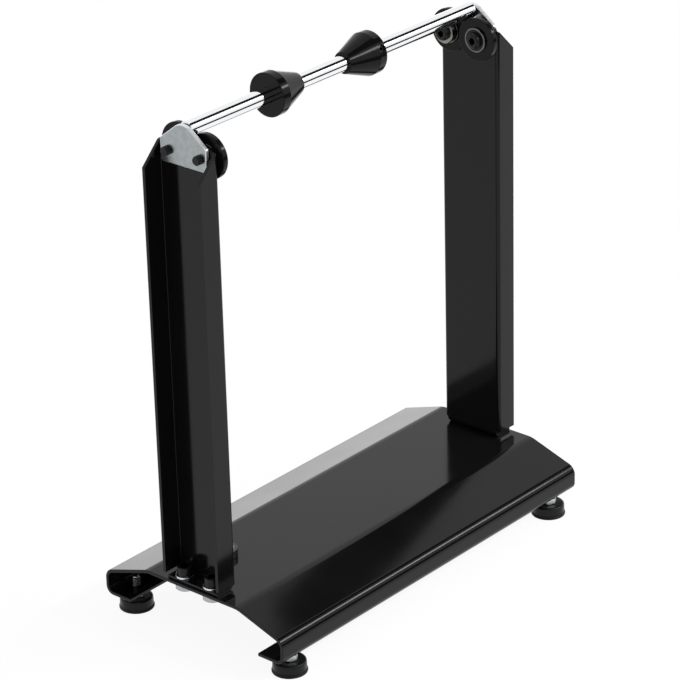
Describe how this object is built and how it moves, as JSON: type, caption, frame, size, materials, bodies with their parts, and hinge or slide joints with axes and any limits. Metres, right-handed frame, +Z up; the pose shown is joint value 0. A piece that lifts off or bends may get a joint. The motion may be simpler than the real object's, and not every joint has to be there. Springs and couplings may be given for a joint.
{
  "type": "wheel balancing stand",
  "caption": "Free-standing static wheel balancer: a shaft with centring cones spins on roller pairs carried by folded uprights on a levelled base.",
  "frame": {"origin": "middle of the footprint, on the floor under the feet", "axes": "+Z up, X along the shaft with the front upright at -X, Y across the stand"},
  "size_m": [0.4, 0.2068, 0.4807],
  "materials": {
    "black_paint": "high gloss black",
    "zinc_plate": "bright zinc, tumbled",
    "zinc_hardware": "bright zinc",
    "black_oxide": "black oxide, oiled",
    "polished_chrome": "polished",
    "cone_black": "satin black",
    "roller_black": "moulded, glossy",
    "bearing_steel": "ground",
    "bearing_seal": "moulded",
    "ball_steel": "polished",
    "cage_steel": "pressed",
    "foot_black": "moulded, semi gloss",
    "level_black": "moulded",
    "level_vial": "clear acrylic, filled"
  },
  "bodies": {
    "frame": {"base_plate": "black_paint", "rear_upright": "black_paint", "front_upright": "black_paint", "rear_head_plate": "zinc_plate", "front_head_plate": "zinc_plate", "upright_screws": "black_oxide", "upright_washers": "zinc_hardware", "upright_nuts": "zinc_hardware", "rear_inner_inner_race": "bearing_steel", "rear_inner_axle_screw": "black_oxide", "rear_inner_spacer": "zinc_hardware", "rear_outer_inner_race": "bearing_steel", "rear_outer_axle_screw": "black_oxide", "rear_outer_spacer": "zinc_hardware", "front_inner_inner_race": "bearing_steel", "front_inner_axle_screw": "black_oxide", "front_inner_spacer": "zinc_hardware", "front_outer_inner_race": "bearing_steel", "front_outer_axle_screw": "black_oxide", "front_outer_spacer": "zinc_hardware", "axle_shims": "zinc_hardware", "level_housing": "level_black", "level_vial": "level_vial"},
    "shaft": {"shaft": "polished_chrome"},
    "rear_inner_roller": {"rear_inner_roller": "roller_black", "rear_inner_outer_race": "bearing_steel", "rear_inner_shields": "bearing_seal"},
    "rear_inner_ball_set": {"rear_inner_balls": "ball_steel", "rear_inner_ball_cage": "cage_steel"},
    "rear_outer_roller": {"rear_outer_roller": "roller_black", "rear_outer_outer_race": "bearing_steel", "rear_outer_shields": "bearing_seal"},
    "rear_outer_ball_set": {"rear_outer_balls": "ball_steel", "rear_outer_ball_cage": "cage_steel"},
    "front_inner_roller": {"front_inner_roller": "roller_black", "front_inner_outer_race": "bearing_steel", "front_inner_shields": "bearing_seal"},
    "front_inner_ball_set": {"front_inner_balls": "ball_steel", "front_inner_ball_cage": "cage_steel"},
    "front_outer_roller": {"front_outer_roller": "roller_black", "front_outer_outer_race": "bearing_steel", "front_outer_shields": "bearing_seal"},
    "front_outer_ball_set": {"front_outer_balls": "ball_steel", "front_outer_ball_cage": "cage_steel"},
    "rear_cone": {"rear_cone": "cone_black"},
    "rear_grub": {"rear_grub_screw": "black_oxide"},
    "front_cone": {"front_cone": "cone_black"},
    "front_grub": {"front_grub_screw": "black_oxide"},
    "rear_left_foot": {"rear_left_foot_pad": "foot_black"},
    "rear_left_stud": {"rear_left_foot_stud": "zinc_hardware"},
    "rear_right_foot": {"rear_right_foot_pad": "foot_black"},
    "rear_right_stud": {"rear_right_foot_stud": "zinc_hardware"},
    "front_left_foot": {"front_left_foot_pad": "foot_black"},
    "front_left_stud": {"front_left_foot_stud": "zinc_hardware"},
    "front_right_foot": {"front_right_foot_pad": "foot_black"},
    "front_right_stud": {"front_right_foot_stud": "zinc_hardware"}
  },
  "joints": [
    {"name": "shaft_spin", "type": "hinge", "parent": "frame", "child": "shaft", "pos_m": [0, 0, 0.46171], "axis": [1, 0, 0], "continuous": true},
    {"name": "rear_inner_roller_spin", "type": "hinge", "parent": "frame", "child": "rear_inner_roller", "pos_m": [0, -0.0173, 0.4415], "axis": [1, 0, 0], "continuous": true},
    {"name": "rear_inner_ball_orbit", "type": "hinge", "parent": "frame", "child": "rear_inner_ball_set", "pos_m": [0, -0.0173, 0.4415], "axis": [1, 0, 0], "continuous": true},
    {"name": "rear_outer_roller_spin", "type": "hinge", "parent": "frame", "child": "rear_outer_roller", "pos_m": [0, 0.0173, 0.4415], "axis": [1, 0, 0], "continuous": true},
    {"name": "rear_outer_ball_orbit", "type": "hinge", "parent": "frame", "child": "rear_outer_ball_set", "pos_m": [0, 0.0173, 0.4415], "axis": [1, 0, 0], "continuous": true},
    {"name": "front_inner_roller_spin", "type": "hinge", "parent": "frame", "child": "front_inner_roller", "pos_m": [0, 0.0173, 0.4415], "axis": [1, 0, 0], "continuous": true},
    {"name": "front_inner_ball_orbit", "type": "hinge", "parent": "frame", "child": "front_inner_ball_set", "pos_m": [0, 0.0173, 0.4415], "axis": [1, 0, 0], "continuous": true},
    {"name": "front_outer_roller_spin", "type": "hinge", "parent": "frame", "child": "front_outer_roller", "pos_m": [0, -0.0173, 0.4415], "axis": [1, 0, 0], "continuous": true},
    {"name": "front_outer_ball_orbit", "type": "hinge", "parent": "frame", "child": "front_outer_ball_set", "pos_m": [0, -0.0173, 0.4415], "axis": [1, 0, 0], "continuous": true},
    {"name": "rear_cone_slide", "type": "slide", "parent": "shaft", "child": "rear_cone", "axis": [1, 0, 0], "range_m": [-0.027, 0.112]},
    {"name": "rear_grub_turn", "type": "hinge", "parent": "rear_cone", "child": "rear_grub", "pos_m": [0.04135, 0, 0.46171], "axis": [0, -0.9135, 0.4067], "range_deg": [0, 270]},
    {"name": "front_cone_slide", "type": "slide", "parent": "shaft", "child": "front_cone", "axis": [1, 0, 0], "range_m": [-0.073, 0.027]},
    {"name": "front_grub_turn", "type": "hinge", "parent": "front_cone", "child": "front_grub", "pos_m": [-0.08015, 0, 0.46171], "axis": [0, 0.9135, 0.4067], "range_deg": [0, 270]},
    {"name": "rear_left_foot_height", "type": "slide", "parent": "frame", "child": "rear_left_foot", "axis": [0, 0, 1], "range_m": [-0.00505, 0.00105]},
    {"name": "rear_left_foot_turn", "type": "hinge", "parent": "rear_left_foot", "child": "rear_left_stud", "pos_m": [0.1775, 0.088, 0], "axis": [0, 0, 1], "range_deg": [-1440, 288]},
    {"name": "rear_right_foot_height", "type": "slide", "parent": "frame", "child": "rear_right_foot", "axis": [0, 0, 1], "range_m": [-0.00505, 0.00105]},
    {"name": "rear_right_foot_turn", "type": "hinge", "parent": "rear_right_foot", "child": "rear_right_stud", "pos_m": [0.1775, -0.088, 0], "axis": [0, 0, 1], "range_deg": [-1440, 288]},
    {"name": "front_left_foot_height", "type": "slide", "parent": "frame", "child": "front_left_foot", "axis": [0, 0, 1], "range_m": [-0.00505, 0.00105]},
    {"name": "front_left_foot_turn", "type": "hinge", "parent": "front_left_foot", "child": "front_left_stud", "pos_m": [-0.1775, 0.088, 0], "axis": [0, 0, 1], "range_deg": [-1440, 288]},
    {"name": "front_right_foot_height", "type": "slide", "parent": "frame", "child": "front_right_foot", "axis": [0, 0, 1], "range_m": [-0.00505, 0.00105]},
    {"name": "front_right_foot_turn", "type": "hinge", "parent": "front_right_foot", "child": "front_right_stud", "pos_m": [-0.1775, -0.088, 0], "axis": [0, 0, 1], "range_deg": [-1440, 288]}
  ],
  "couplings": [
    {"joint": "rear_inner_roller_spin", "follows": "shaft_spin", "ratio": -0.35897},
    {"joint": "rear_inner_ball_orbit", "follows": "shaft_spin", "ratio": -0.22615},
    {"joint": "rear_outer_roller_spin", "follows": "shaft_spin", "ratio": -0.35897},
    {"joint": "rear_outer_ball_orbit", "follows": "shaft_spin", "ratio": -0.22615},
    {"joint": "front_inner_roller_spin", "follows": "shaft_spin", "ratio": -0.35897},
    {"joint": "front_inner_ball_orbit", "follows": "shaft_spin", "ratio": -0.22615},
    {"joint": "front_outer_roller_spin", "follows": "shaft_spin", "ratio": -0.35897},
    {"joint": "front_outer_ball_orbit", "follows": "shaft_spin", "ratio": -0.22615},
    {"joint": "rear_left_foot_height", "follows": "rear_left_foot_turn", "m_per_rad": 0.00019894},
    {"joint": "rear_right_foot_height", "follows": "rear_right_foot_turn", "m_per_rad": 0.00019894},
    {"joint": "front_left_foot_height", "follows": "front_left_foot_turn", "m_per_rad": 0.00019894},
    {"joint": "front_right_foot_height", "follows": "front_right_foot_turn", "m_per_rad": 0.00019894}
  ]
}
